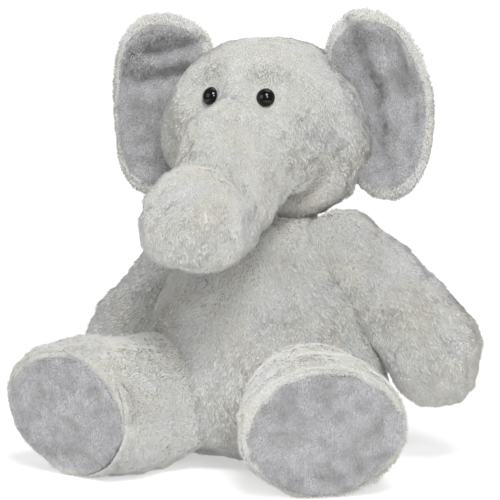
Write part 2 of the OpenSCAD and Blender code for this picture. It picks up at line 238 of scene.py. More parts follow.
@dataclass(frozen=True)
class Moulded:
    """A moulded plastic, with a faint uneven tone and skin such as a mould leaves."""

    name: str
    colour: str
    second: str
    roughness: float
    specular: float = 0.5
    grain: float = 3.0

    def material(self) -> bpy.types.Material:
        """The plastic's material."""
        material, tree, shader = new_material(self.name)
        place = add_node(tree, "ShaderNodeTexCoord").outputs["Object"]
        flow = add_node(tree, "ShaderNodeTexNoise",
                        {"Vector": place, "Scale": 1 / (self.grain * MM), "Detail": 2.0})
        mixed = add_node(tree, "ShaderNodeMix",
                         {0: flow.outputs["Fac"], 6: linear(self.colour), 7: linear(self.second)},
                         data_type="RGBA")
        tree.links.new(mixed.outputs[2], shader.inputs["Base Color"])
        set_inputs(shader, {"Roughness": self.roughness, "IOR": 1.49,
                            "Specular IOR Level": self.specular})
        return material


@dataclass(frozen=True)
class Ribbon:
    """A satin ribbon: fine ribs across its width, drawn 0.8 mm apart so that they show."""

    name: str
    light: str
    dark: str
    rib: float = 0.8

    def material(self) -> bpy.types.Material:
        """The ribbon's material."""
        material, tree, shader = new_material(self.name)
        place = add_node(tree, "ShaderNodeTexCoord").outputs["Object"]
        ribs = add_node(tree, "ShaderNodeTexWave",
                        {"Vector": place, "Scale": math.pi / 10 / (self.rib * MM)}, bands_direction="X")
        mixed = add_node(tree, "ShaderNodeMix",
                         {0: ribs.outputs["Fac"], 6: linear(self.dark), 7: linear(self.light)},
                         data_type="RGBA")
        tree.links.new(mixed.outputs[2], shader.inputs["Base Color"])
        set_inputs(shader, {"Roughness": 0.45, "Sheen Weight": 0.3})
        return material


# Long soft pile, pale warm grey with a beige cast in places; its root colour is painted shade
PLUSH = Fabric("plush", ground="#d6d6d2", root="#bfbfba", cool="#e3e4e3", warm="#e2dfd8", tone_range=0.09)
# Short dense pile, grey with a touch of lavender; its root colour is painted shade
LINING = Fabric("lining", ground="#b4b4b6", root="#a0a0a3", cool="#dcdcde", warm="#bebdbe", patch=14.0,
                tone_range=0.22)
# Polished acrylic: deep black with a sharp small highlight
EYE = Moulded("black_acrylic", "#020203", "#060607", roughness=0.06, specular=0.45)
# Moulded polyethylene: milky white, dull
WASHER = Moulded("white_polyethylene", "#e6e6e2", "#f2f2ef", roughness=0.55)
LABEL = Ribbon("satin_ribbon", light="#f4f4f1", dark="#dcdcd8")


# ---------------------------------------------------------------- stuffed forms


@dataclass(frozen=True)
class Ripple:
    """A smooth random field of about one wave length: waves in random directions, added up."""

    wave: float
    seed: int
    count: int = 12

    def at(self, points: np.ndarray) -> np.ndarray:
        """The field at each point, mostly between -2 and 2."""
        rng = np.random.default_rng(self.seed)
        ways = unit(rng.normal(size=(self.count, 3)))
        rates = 2 * math.pi / self.wave * rng.uniform(0.7, 1.4, self.count)
        starts = rng.uniform(0, 2 * math.pi, self.count)
        return np.sin(points @ (ways * rates[:, None]).T + starts).sum(1) / math.sqrt(self.count / 2)


@dataclass(frozen=True)
class Section:
    """A cross-section of a stuffed form: its middle, half its width, and how far it rises and sinks."""

    middle: Point
    across: float = 0.0
    above: float = 0.0
    below: float = 0.0


@dataclass(frozen=True)
class Seam:
    """A sewn seam along a form: where round the form it runs, from 0 at its top, and how it sinks."""

    angle: float
    start: float = 0.0
    end: float = 1.0
    depth: float = 2.2
    width: float = 5.0


@dataclass(frozen=True)
class Crease:
    """A fold or tuck along a line of points. A negative depth is a ridge or a bulge."""

    path: tuple[Point, ...]
    depth: float
    width: float

    def sink(self, points: np.ndarray) -> np.ndarray:
        """How far the skin goes in at each point."""
        stops = [np.array(p, float) for p in self.path]
        gaps = [np.linalg.norm(points - stops[0], axis=1)]
        for a, b in zip(stops, stops[1:]):
            share = np.clip((points - a) @ (b - a) / ((b - a) @ (b - a)), 0, 1)
            gaps.append(np.linalg.norm(points - a - share[:, None] * (b - a), axis=1))
        return self.depth * np.exp(-(np.min(gaps, axis=0) / self.width) ** 2)


def eased_rows(rows: np.ndarray, count: int, steps: int = 12) -> np.ndarray:
    """Rows of numbers drawn out along a smooth curve through them.

    Args:
        rows: The rows that the curve passes through.
        count: How many rows to give back.
        steps: Points on the curve between one row and the next, before they are spaced out.

    Returns:
        count rows, evenly spaced along the curve.
    """
    ends = np.vstack([2 * rows[0] - rows[1], rows, 2 * rows[-1] - rows[-2]])
    curve = []
    for p, q, r, s in zip(ends, ends[1:], ends[2:], ends[3:]):
        for t in np.linspace(0, 1, steps, endpoint=False):
            curve.append(q + 0.5 * t * (r - p + t * (2 * p - 5 * q + 4 * r - s + t * (3 * (q - r) + s - p))))
    curve = np.array(curve + [rows[-1]])
    way = np.concatenate([[0], np.cumsum(np.linalg.norm(np.diff(curve, axis=0), axis=1))])
    even = np.linspace(0, way[-1], count)
    return np.stack([np.interp(even, way, column) for column in curve.T], axis=1)


def deselect_all() -> None:
    """Nothing stays selected, so that an operator takes only what is named after this."""
    bpy.ops.object.select_all(action="DESELECT")


def only(piece: bpy.types.Object) -> None:
    """Makes piece the one selected and active object."""
    deselect_all()
    piece.select_set(True)
    bpy.context.view_layer.objects.active = piece


def vertex_places(piece: bpy.types.Object) -> np.ndarray:
    """The vertices of a piece, in millimetres."""
    places = np.empty(len(piece.data.vertices) * 3, np.float32)
    piece.data.vertices.foreach_get("co", places)
    return places.reshape(-1, 3).astype(float) / MM


def vertex_normals(piece: bpy.types.Object) -> np.ndarray:
    """The vertex normals of a piece."""
    normals = np.empty(len(piece.data.vertices) * 3, np.float32)
    piece.data.vertex_normals.foreach_get("vector", normals)
    return normals.reshape(-1, 3).astype(float)


def put_vertices(piece: bpy.types.Object, places: np.ndarray) -> None:
    """Moves the vertices of a piece to places given in millimetres."""
    piece.data.vertices.foreach_set("co", (places * MM).astype(np.float32).ravel())
    piece.data.update()


def ball(name: str, segments: int, rings: int) -> tuple[bpy.types.Object, np.ndarray, np.ndarray]:
    """A ball to shape: its poles become the ends of a stuffed form.

    Args:
        name: The piece's name.
        segments: Points round each ring.
        rings: Steps from pole to pole.

    Returns:
        The piece, and for each vertex its step from the first pole and its angle round the ball.
    """
    deselect_all()
    bpy.ops.mesh.primitive_uv_sphere_add(segments=segments, ring_count=rings, radius=1)
    piece = bpy.context.object
    piece.name = piece.data.name = name
    piece.data.uv_layers[0].name = BAKE_MAP
    at = vertex_places(piece) * MM
    steps = np.rint(np.arccos(np.clip(at[:, 2], -1, 1)) / math.pi * rings).astype(int)
    return piece, steps, np.arctan2(at[:, 1], at[:, 0])


def face_outwards(piece: bpy.types.Object) -> None:
    """Turns every face of a closed piece outwards and shades it smooth."""
    only(piece)
    bpy.ops.object.mode_set(mode="EDIT")
    bpy.ops.mesh.select_all(action="SELECT")
    bpy.ops.mesh.normals_make_consistent(inside=False)
    bpy.ops.object.mode_set(mode="OBJECT")
    bpy.ops.object.shade_smooth()


@dataclass
class StuffedForm:
    """A closed skin over stuffing, drawn through cross-sections from one end to the other."""

    name: str
    sections: list[Section]
    reference: Point = (0, 0, 1)
    segments: int = 96
    rings: int = 80
    jowl: float = 0.0
    square: float = 2.0
    seams: tuple[Seam, ...] = ()
    creases: tuple[Crease, ...] = ()
    lump: float = 0.9
    seed: int = 1

    def build(self) -> bpy.types.Object:
        """Shapes a ball into the form, with its seams, creases and lumps."""
        piece, steps, angles = ball(self.name, self.segments, self.rings)
        rows = np.array([[*s.middle, s.across, s.above, s.below] for s in self.sections], float)
        rows = eased_rows(rows, self.rings + 1)
        ways = unit(np.gradient(rows[:, :3], axis=0))
        rise = np.array(self.reference, float) - (ways @ self.reference)[:, None] * ways
        rise = unit(rise)
        side = np.cross(ways, rise)
        row = rows[steps]
        cosine, sine = (np.sign(c) * np.abs(c) ** (2 / self.square) for c in (np.cos(angles), np.sin(angles)))
        height = np.where(cosine > 0, row[:, 4], row[:, 5]) * cosine
        width = row[:, 3] * sine * (1 - self.jowl * cosine)
        offset = width[:, None] * side[steps] + height[:, None] * rise[steps]
        reach = np.linalg.norm(offset, axis=1)
        sunk = self.seam_depth(steps / self.rings, angles, reach)
        places = row[:, :3] + unit(offset) * np.maximum(reach - sunk, 0)[:, None]
        put_vertices(piece, places)
        face_outwards(piece)
        self.crumple(piece)
        return piece

    def seam_depth(self, along: np.ndarray, angles: np.ndarray, reach: np.ndarray) -> np.ndarray:
        """How far the seams pull the skin in.

        Args:
            along: Share of the form's length at each vertex.
            angles: Angle round the form at each vertex.
            reach: Distance from the form's middle line.

        Returns:
            The depth at each vertex.
        """
        sunk = np.zeros_like(reach)
        for seam in self.seams:
            apart = np.angle(np.exp(1j * (angles - math.radians(seam.angle)))) * reach
            fade = np.clip((along - seam.start) * 12, 0, 1) * np.clip((seam.end - along) * 12, 0, 1)
            sunk = np.maximum(sunk, seam.depth * fade * np.exp(-(apart / seam.width) ** 2))
        return np.minimum(sunk, reach * 0.5)

    def crumple(self, piece: bpy.types.Object) -> None:
        """Adds the lumps of the fibre and the creases, and keeps the form above the floor."""
        places = vertex_places(piece)
        normals = vertex_normals(piece)
        out = self.lump * (Ripple(46, self.seed).at(places) + 0.35 * Ripple(17, self.seed + 50).at(places))
        for crease in self.creases:
            out -= crease.sink(places)
        places += normals * out[:, None]
        places[:, 2] = np.maximum(places[:, 2], 0.4)
        put_vertices(piece, places)


# ---------------------------------------------------------------- pile


@dataclass(frozen=True)
class Pile:
    """The cut of a pile: how long, wide, dense and flat its tufts are."""

    length: float = 5.0
    width: float = 1.0
    lift: float = 20.0
    spread: float = 14.0
    per_mm2: float = 1.35
    most: int = 45500


LONG_PILE = Pile()
SHORT_PILE = Pile(length=3.2, width=0.9, lift=38, spread=30, per_mm2=1.7)
# A tuft is a slim pyramid: three corners at its root and one at its tip
TUFT_FACES = np.array([[0, 1, 3], [1, 2, 3], [2, 0, 3], [2, 1, 0]])
# Where each corner of those faces lies in the tuft's own square of the bake map
TUFT_MAP = np.array([
    [[0.05, 0.05], [0.35, 0.05], [0.5, 0.95]], [[0.35, 0.05], [0.65, 0.05], [0.5, 0.95]],
    [[0.65, 0.05], [0.95, 0.05], [0.5, 0.95]], [[0.02, 0.02], [0.02, 0.08], [0.08, 0.02]]])


def buried(points: np.ndarray, others: Sequence[bpy.types.Object], depth: float) -> np.ndarray:
    """Which points lie deeper than depth inside another skin.

    Args:
        points: Places in millimetres.
        others: The skins to look in.
        depth: In millimetres.

    Returns:
        True for each point that no one sees.
    """
    hidden = np.zeros(len(points), bool)
    for other in others:
        tree = BVHTree.FromPolygons([v.co for v in other.data.vertices],
                                    [p.vertices for p in other.data.polygons])
        low, high = vertex_places(other).min(0), vertex_places(other).max(0)
        near = np.flatnonzero(((points > low) & (points < high)).all(1) & ~hidden)
        for i in near:
            at = Vector(points[i] * MM)
            place, normal, _, _ = tree.find_nearest(at)
            hidden[i] = (at - place).dot(normal) < -depth * MM
    return hidden


def skin_triangles(skin: bpy.types.Object) -> tuple[np.ndarray, np.ndarray, np.ndarray]:
    """The corners, corner normals and areas of a skin's triangles, in millimetres."""
    skin.data.calc_loop_triangles()
    corners = np.empty(len(skin.data.loop_triangles) * 3, np.int32)
    skin.data.loop_triangles.foreach_get("vertices", corners)
    corners = corners.reshape(-1, 3)
    places, normals = vertex_places(skin)[corners], vertex_normals(skin)[corners]
    cross = np.cross(places[:, 1] - places[:, 0], places[:, 2] - places[:, 0])
    return places, normals, np.linalg.norm(cross, axis=1) / 2


def grow_pile(name: str, skin: bpy.types.Object, pile: Pile, nap: Field, keep: Field, seed: int,
              trim: Field | None = None) -> bpy.types.Object:
    """Grows tufts on a skin.

    Args:
        name: The pile's name.
        skin: The finished skin that it grows on.
        pile: The cut of the pile.
        nap: Gives the way that the tufts lie at each place.
        keep: Tells for each place whether tufts grow there.
        seed: For the scatter of the tufts.
        trim: Gives the share of its length that a tuft keeps at each place.

    Returns:
        The pile, as one piece.
    """
    rng = np.random.default_rng(seed)
    places, normals, areas = skin_triangles(skin)
    areas = areas * keep(places.mean(1))
    count = min(pile.most, int(areas.sum() * pile.per_mm2))
    chosen = np.searchsorted(np.cumsum(areas) / areas.sum(), rng.random(count)).clip(0, len(areas) - 1)
    shares = np.sort(rng.random((count, 2)), axis=1)
    shares = np.stack([shares[:, 0], shares[:, 1] - shares[:, 0], 1 - shares[:, 1]], 1)[:, :, None]
    root = (places[chosen] * shares).sum(1)
    normal = unit((normals[chosen] * shares).sum(1))

    lie = nap(root)
    lie = unit(lie - (lie * normal).sum(1, keepdims=True) * normal)
    swirl = pile.spread * (0.8 * Ripple(38, seed).at(root) + 0.5 * Ripple(9, seed + 1).at(root))
    swirl = np.radians(swirl + pile.spread * 0.45 * rng.normal(size=count))[:, None]
    lie = lie * np.cos(swirl) + np.cross(normal, lie) * np.sin(swirl)
    lift = pile.lift * (1 + 0.22 * Ripple(11, seed + 2).at(root) + 0.22 * rng.normal(size=count))
    lift = np.radians(np.clip(lift, 6, 80))[:, None]
    way = lie * np.cos(lift) + normal * np.sin(lift)
    length = pile.length * (1 + 0.14 * Ripple(13, seed + 3).at(root) + 0.16 * rng.normal(size=count))
    length = np.clip(length, 0.35 * pile.length, 1.5 * pile.length)
    if trim is not None:
        length = length * trim(root)
    side = unit(np.cross(way, normal))
    over = np.cross(side, way)
    half = pile.width / 2 * rng.uniform(0.7, 1.3, (count, 1))
    start = root - normal * 0.4
    corners = np.stack([start + side * half, start - side * half, start + over * half * 1.2,
                        root + way * length[:, None]], 1)
    corners[:, :, 2] = np.maximum(corners[:, :, 2], 0.2 + 0.3 * rng.random((count, 4)))
    return tuft_mesh(name, corners, rng.random(count))


def tuft_mesh(name: str, corners: np.ndarray, tone: np.ndarray) -> bpy.types.Object:
    """One mesh of many tufts.

    Args:
        name: The piece's name.
        corners: Four corners for each tuft, in millimetres.
        tone: How light each tuft is, from 0 to 1.

    Returns:
        The piece.
    """
    count = len(corners)
    mesh = bpy.data.meshes.new(name)
    mesh.vertices.add(count * 4)
    mesh.vertices.foreach_set("co", (corners * MM).astype(np.float32).ravel())
    faces = (TUFT_FACES[None] + 4 * np.arange(count)[:, None, None]).reshape(-1, 3)
    mesh.loops.add(faces.size)
    mesh.loops.foreach_set("vertex_index", faces.astype(np.int32).ravel())
    mesh.polygons.add(len(faces))
    mesh.polygons.foreach_set("loop_start", np.arange(0, faces.size, 3, dtype=np.int32))
    mesh.update(calc_edges=True)
    # along is 0 at a tuft's root and 1 at its tip; the material uses it to paint shade at the roots
    along = mesh.attributes.new("along", "FLOAT", "POINT")
    along.data.foreach_set("value", np.tile([0, 0, 0.15, 1], count).astype(np.float32))
    tones = mesh.attributes.new("tone", "FLOAT", "POINT")
    tones.data.foreach_set("value", np.repeat(tone, 4).astype(np.float32))
    cells = math.ceil(math.sqrt(count))
    cell = np.stack([np.arange(count) % cells, np.arange(count) // cells], 1)
    places = (cell[:, None, None, :] + TUFT_MAP[None]) / cells
    mesh.uv_layers.new(name=BAKE_MAP).data.foreach_set("uv", places.astype(np.float32).ravel())
    mesh.shade_smooth()
    piece = bpy.data.objects.new(name, mesh)
    # Fibres let light through, so the tufts throw no hard shadows on each other
    piece.visible_shadow = False
    bpy.context.scene.collection.objects.link(piece)
    return piece


def everywhere(points: np.ndarray) -> np.ndarray:
    """Keeps every point."""
    return np.ones(len(points), bool)


def towards(way: Sequence[float]) -> Field:
    """A nap that lies one way all over."""
    return lambda points: np.tile(np.array(way, float), (len(points), 1))


# ---------------------------------------------------------------- sub-assemblies


@dataclass
class Part:
    """What every part of the elephant shares: its body, its skins and the hinge that it records."""

    skins: list[bpy.types.Object] = field(default_factory=list, init=False)
    body: str = field(default="torso", init=False)
    hinge: tuple[str, str, np.ndarray, np.ndarray] | None = field(default=None, init=False)

    def attach(self, piece: bpy.types.Object) -> bpy.types.Object:
        """Makes a piece ride on the part's body, or, where the part has a hinge, bakes the piece's place into its
        mesh.
        """
        if self.hinge is None:
            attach(piece, self.body)
        else:
            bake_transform(piece)
        return piece

    def dress(self, piece: bpy.types.Object, material: bpy.types.Material, slot: str) -> None:
        """Gives a piece its material, attaches it, and names its slot in the log."""
        piece.data.materials.clear()
        piece.data.materials.append(material)
        self.attach(piece)
        log.info("%s: %d faces, slot %s", piece.name, len(piece.data.polygons), slot)

    def stuffed(self, piece: bpy.types.Object, material: bpy.types.Material, slot: str, fill: float,
                nodes: Sequence[str]) -> None:
        """Dresses a stuffed skin and hides the nodes that it stands for."""
        self.dress(piece, material, slot)
        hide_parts(*nodes)


@dataclass
class Cloths:
    """The materials that the parts share."""

    plush_ground: bpy.types.Material
    plush_pile: bpy.types.Material
    lining_ground: bpy.types.Material
    lining_pile: bpy.types.Material

    @classmethod
    def woven(cls) -> "Cloths":
        """Makes each material once."""
        return cls(PLUSH.ground_material(), PLUSH.pile_material(),
                   LINING.ground_material(), LINING.pile_material())


@dataclass
class Torso(Part):
    """The pear-shaped torso: four panels over fibre, a pellet bag in its seat."""

    belly_seam_depth: float = 2.2
    middle_y: float = -20.0

    def build(self) -> None:
        """Builds the torso's skin."""
        levels = [  # height, half width, reach to the front and to the back
            (0, 48, 8, 42), (7, 72, 34, 50), (16, 84, 64, 54), (30, 91, 86, 58), (57, 93, 97, 58),
            (86, 90, 92, 53), (115, 82, 80, 47), (138, 72, 66, 42), (156, 62, 54, 38), (170, 50, 42, 33),
            (181, 33, 28, 24)]
        sections = [Section((0, -10, 0))]
        sections += [Section((0, 0, z), w, front, back) for z, w, front, back in levels]
        sections += [Section((0, 0, 187))]
        seams = tuple(Seam(angle, 0.08, 0.95, self.belly_seam_depth) for angle in (0, 90, 180, 270))
        form = StuffedForm("torso_skin", sections, reference=(0, -1, 0), segments=112, rings=96,
                           seams=seams, seed=3)
        self.skins = [form.build()]

    def finish(self, cloths: Cloths, others: Sequence[bpy.types.Object]) -> None:
        """Grows the pile and dresses the torso."""
        skin = self.skins[0]

        def nap(points: np.ndarray) -> np.ndarray:
            return np.stack([points[:, 0] * 0.004, np.zeros(len(points)), -np.ones(len(points))], 1)

        def keep(points: np.ndarray) -> np.ndarray:
            return (points[:, 2] > 1.2) & ~buried(points, others, 3)

        for name, way, seed in (("front", -1, 11), ("back", 1, 12)):
            pile = grow_pile(f"torso_{name}_pile", skin, LONG_PILE, nap,
                             lambda p, way=way: keep(p) & (p[:, 1] * way > self.middle_y * way), seed=seed)
            self.dress(pile, cloths.plush_pile, "plush")
        panels = [f"torso_{face}_{side.word}" for face in ("front", "back") for side in Side]
        self.stuffed(skin, cloths.plush_ground, "plush", 0.8, [*panels, "torso_stuffing", "pellet_bag"])


@dataclass
class Neck(Part):
    """The short plug between the torso and the head."""

    radius: float = 17.0

    def build(self) -> None:
        """Builds the plug."""
        low = joint_place("head_nod") + (0, 0, -8)
        heights = ((0, 0.0), (0.5, 0.8), (4, 1.0), (12, 1.0), (15.5, 0.8), (16, 0.0))
        sections = [Section(tuple(low + (0, 0, z)), r, r, r)
                    for z, r in ((z, self.radius * share) for z, share in heights)]
        form = StuffedForm("neck_plug", sections, reference=(0, -1, 0), segments=32, rings=20, lump=0.2)
        self.skins = [form.build()]

    def finish(self, cloths: Cloths) -> None:
        """Dresses the plug."""
        self.body = "neck"
        self.stuffed(self.skins[0], cloths.plush_ground, "stuffing", 0.9, ["neck_stuffing"])


@dataclass
class Head(Part):
    """The head and the trunk in one skin, which bends where the trunk starts, and the eyes."""

    cheek_jowl: float = 0.14
    eye_clear: float = 8.3

    def build(self) -> None:
        """Builds the skin from the back of the head to the tip of the trunk."""
        root = joint_place("trunk_bend")
        face = [  # place along Y, height, half width, reach up and down
            (64, 251, 0, 0, 0), (62.5, 251, 18, 15, 15), (58, 251, 36, 31, 31), (47, 252, 56, 47, 51),
            (26, 252, 69, 59, 64), (2, 252, 75.5, 63, 70), (-20, 251, 75, 61, 67), (-36, 247, 66, 53, 59),
            (-47, 240, 53, 43, 48)]
        sections = [Section((0, y, z), w, up, down) for y, z, w, up, down in face]
        tube = [  # forward of the root, above it, radius
            (4, -1, 42), (20, -12, 39), (38, -27, 35), (55, -38, 34), (69, -40, 35.5), (81, -37.5, 36),
            (91.5, -33.5, 32.5), (98.5, -30.5, 25), (102.5, -28.5, 14), (103.5, -28, 0)]
        sections += [Section((0, root[1] - forward, root[2] + up), r, r, r) for forward, up, r in tube]
        seams = (Seam(90, 0.45, 0.97, 1.2, 4), Seam(270, 0.45, 0.97, 1.2, 4),
                 Seam(40, 0.02, 0.4, 1.3, 5), Seam(320, 0.02, 0.4, 1.3, 5))
        tucks = tuple(Crease(((side.value * 41, root[1] - 1, root[2] - 12), (side.value * 37, root[1] - 6, root[2] - 28)),
                             5.0, 6.0) for side in Side)
        bend = Crease(tuple(tuple(root + place) for place in ((-20, -44, 8), (-33, -44, -12), (-34, -38, -34))),
                      5.5, 7.5)
        form = StuffedForm("head_skin", sections, segments=128, rings=128, jowl=self.cheek_jowl,
                           square=2.25, seams=seams, creases=(*tucks, bend), seed=7)
        skin = form.build()
        self.seat_eyes(skin)
        self.skins = [skin]

    def eye_places(self) -> list[np.ndarray]:
        """Where each eye's dome meets the skin."""
        return [node_middle(f"eye_washer_{side.word}") + side.out(self.eye_way()) * 9.4 for side in Side]

    def eye_way(self) -> np.ndarray:
        """The way that the left eye looks, from its washer to its dome."""
        way = node_middle("eye_left") - node_middle("eye_washer_left")
        return unit(way)

    def seat_eyes(self, skin: bpy.types.Object) -> None:
        """Brings the skin to each eye's back, with a shallow dimple round it."""
        places = vertex_places(skin)
        for side, eye in zip(Side, self.eye_places()):
            way = side.out(self.eye_way())
            apart = places - eye
            beside = np.linalg.norm(apart - (apart @ way)[:, None] * way, axis=1)
            close = (beside < 5) & (np.abs(apart @ way) < 30)
            gap = (apart[close] @ way).mean()
            push = -gap * np.exp(-(beside / 20) ** 4) - 1.6 * np.exp(-(beside / 9) ** 4)
            push = np.where(np.abs(apart @ way) < 40, push, 0)
            places += push[:, None] * way
            log.info("the skin moved %.1f mm to the eye", -gap)
        put_vertices(skin, places)

    def finish(self, cloths: Cloths, others: Sequence[bpy.types.Object]) -> None:
        """Grows the pile and dresses the head, the eyes and their washers."""
        skin = self.skins[0]
        root = joint_place("trunk_bend")
        eyes = self.eye_places()
        self.hinge = ("head", "trunk", root + (0, 18, 6), root + (0, -26, -10))

        def nap(points: np.ndarray) -> np.ndarray:
            face = (points - node_middle("head_stuffing")) * (0.012, 0.012, 0) - (0, 0, 0.8)
            trunk = np.array([0, -0.55, -0.83])
            share = np.clip((root[1] - 6 - points[:, 1]) / 24, 0, 1)[:, None]
            return face * (1 - share) + trunk * share

        def keep(points: np.ndarray) -> np.ndarray:
            clear = np.min([np.linalg.norm(points - eye, axis=1) for eye in eyes], axis=0)
            return (clear > self.eye_clear) & ~buried(points, others, 3)

        def trim(points: np.ndarray) -> np.ndarray:
            clear = np.min([np.linalg.norm(points - eye, axis=1) for eye in eyes], axis=0)
            crown = np.clip((points[:, 2] - root[2] - 30) / 30, 0, 1) * (points[:, 1] > root[1] - 12)
            return np.clip(clear / 20, 0.35, 1) * (1 - 0.35 * crown)

        on_trunk = root[1] - 4
        zones = (("head_left_pile", lambda p: (p[:, 1] > on_trunk) & (p[:, 0] > 0)),
                 ("head_right_pile", lambda p: (p[:, 1] > on_trunk) & (p[:, 0] <= 0)),
                 ("trunk_pile", lambda p: p[:, 1] <= on_trunk))
        for number, (name, zone) in enumerate(zones):
            pile = grow_pile(name, skin, LONG_PILE, nap, lambda p, zone=zone: keep(p) & zone(p),
                             seed=21 + number, trim=trim)
            self.dress(pile, cloths.plush_pile, "plush")
        parts = ("left", "right", "underside", "stuffing")
        nodes = ["head_left", "head_right", "head_gusset", "chin_panel", "head_stuffing"]
        self.stuffed(skin, cloths.plush_ground, "plush", 0.9, nodes + [f"trunk_{part}" for part in parts])
        for side in Side:
            for node, finish in ((f"eye_{side.word}", EYE), (f"eye_washer_{side.word}", WASHER)):
                dress_node(node, finish.material())


def dress_node(name: str, material: bpy.types.Material) -> None:
    """Gives a node that stays a better material."""
    node = frame["nodes"][name]
    for place in node.material_slots:
        place.material = material
    if not node.material_slots:
        node.data.materials.append(material)
    log.info("%s: material %s", name, material.name)


@dataclass
class Ear(Part):
    """A cupped ear: a plush back that rolls over the rim, and a short-pile lining in its hollow."""

    side: Side
    half_w: float = 38.5
    half_h: float = 68.5
    lean: float = 0.1
    lower: float = 0.0
    cup: float = 22.0
    rim: float = 7.0
    lining_share: float = 0.89
    folds: tuple[Crease, ...] = ()

    def middle(self) -> np.ndarray:
        """The middle of the ear, from its CAD box."""
        low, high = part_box(f"ear_{self.side.word}_back")
        outer = (high.x if self.side is Side.LEFT else low.x) / MM
        return np.array([outer - self.side.value * (self.half_w + 2), 15, (low.z + high.z) / 2 / MM - self.lower])

    def outline(self, angle: np.ndarray) -> np.ndarray:
        """The distance from the middle to the rim at each angle."""
        half_w = self.half_w * (1 + 0.07 * np.sin(angle))
        return ((np.abs(np.cos(angle)) / half_w) ** 2.3 + (np.abs(np.sin(angle)) / self.half_h) ** 2.3) ** (-1 / 2.3)

    def surface(self, share: np.ndarray, angle: np.ndarray, face: np.ndarray, proud: float = 0.0) -> np.ndarray:
        """Points on the ear.

        Args:
            share: Share of the way from the middle to the rim.
            angle: Angle from straight out, upwards.
            face: 1 on the back and -1 on the front.
            proud: How far the points stand off the surface.

        Returns:
            The points.
        """
        reach = self.outline(angle) * share
        bend = self.cup * (reach / 55) ** 2 * (0.55 + 0.45 * np.cos(angle - 0.5))
        thick = (2.6 + self.rim * 0.62 * np.exp(-((share - 0.86) / 0.13) ** 2)) * np.sqrt(1 - share ** 10)
        x = (np.cos(angle) - self.lean * np.sin(angle)) * reach
        y = -bend + face * (thick + proud)
        return self.middle() + np.stack([self.side.value * x, y, np.sin(angle) * reach], 1)

    def build(self) -> None:
        """Builds the back with its rim, and the lining."""
        rings = 64
        back, steps, angle = ball(f"ear_{self.side.word}_plush", 112, rings)
        turn = steps / rings
        share = np.clip(np.sin(turn * math.pi), 0, 1)
        face = np.where(turn <= 0.5, 1.0, -1.0)
        self.place(back, self.surface(share, angle, face))
        lining, steps, angle = ball(f"ear_{self.side.word}_short_pile", 96, 48)
        turn = steps / 48
        share = np.clip(np.sin(turn * math.pi), 0, 1) * self.lining_share
        front = turn > 0.5
        crown = 1.8 * np.sqrt(np.clip(1 - (share / self.lining_share) ** 4, 0, 1))
        places = self.surface(share, angle, -np.ones(len(share)))
        places[:, 1] += np.where(front, -crown, 1.0)
        self.place(lining, places)
        self.skins = [back, lining]

    def place(self, piece: bpy.types.Object, places: np.ndarray) -> None:
        """Puts a piece's vertices in place, with the ear's folds and a few soft waves."""
        put_vertices(piece, places)
        face_outwards(piece)
        drop = sum((fold.sink(places * (1, 0, 1)) for fold in self.folds), np.zeros(len(places)))
        reach = np.linalg.norm((places - self.middle()) * (1, 0, 1), axis=1) / self.half_h
        waves = 1.5 * Ripple(52, 5 + self.side.value).at(places * (1, 0, 1)) * reach
        places = places.copy()
        places[:, 1] += drop + waves
        put_vertices(piece, places)

    def finish(self, cloths: Cloths, others: Sequence[bpy.types.Object]) -> None:
        """Grows both piles and dresses the ear."""
        word = self.side.word
        root = joint_place(f"ear_{word}_fold")
        self.hinge = ("head", f"ear_{word}", root + self.side.out((-14, 0, 36)), root + self.side.out((12, 0, 36)))
        back, lining = self.skins
        middle = self.middle()

        def outwards(points: np.ndarray) -> np.ndarray:
            return unit((points - middle) * (1, 0, 1)) + np.array([0, 0, -0.35])

        def bare_of_lining(points: np.ndarray) -> np.ndarray:
            return ~buried(points, [*others, lining], 0.2)

        long_pile = grow_pile(f"ear_{word}_plush_pile", back, replace(LONG_PILE, length=3.4, lift=14), outwards,
                              bare_of_lining, seed=31 + self.side.value)
        short_pile = grow_pile(f"ear_{word}_lining_pile", lining, SHORT_PILE, towards((0, -0.1, -1)),
                               lambda p: ~buried(p, [*others, back], 0.2), seed=35 + self.side.value)
        self.dress(long_pile, cloths.plush_pile, "plush")
        self.dress(short_pile, cloths.lining_pile, "lining")
        self.stuffed(back, cloths.plush_ground, "plush", 0.3, [f"ear_{word}_back", f"ear_{word}_wadding"])
        self.stuffed(lining, cloths.lining_ground, "lining", 0.3, [f"ear_{word}_lining"])


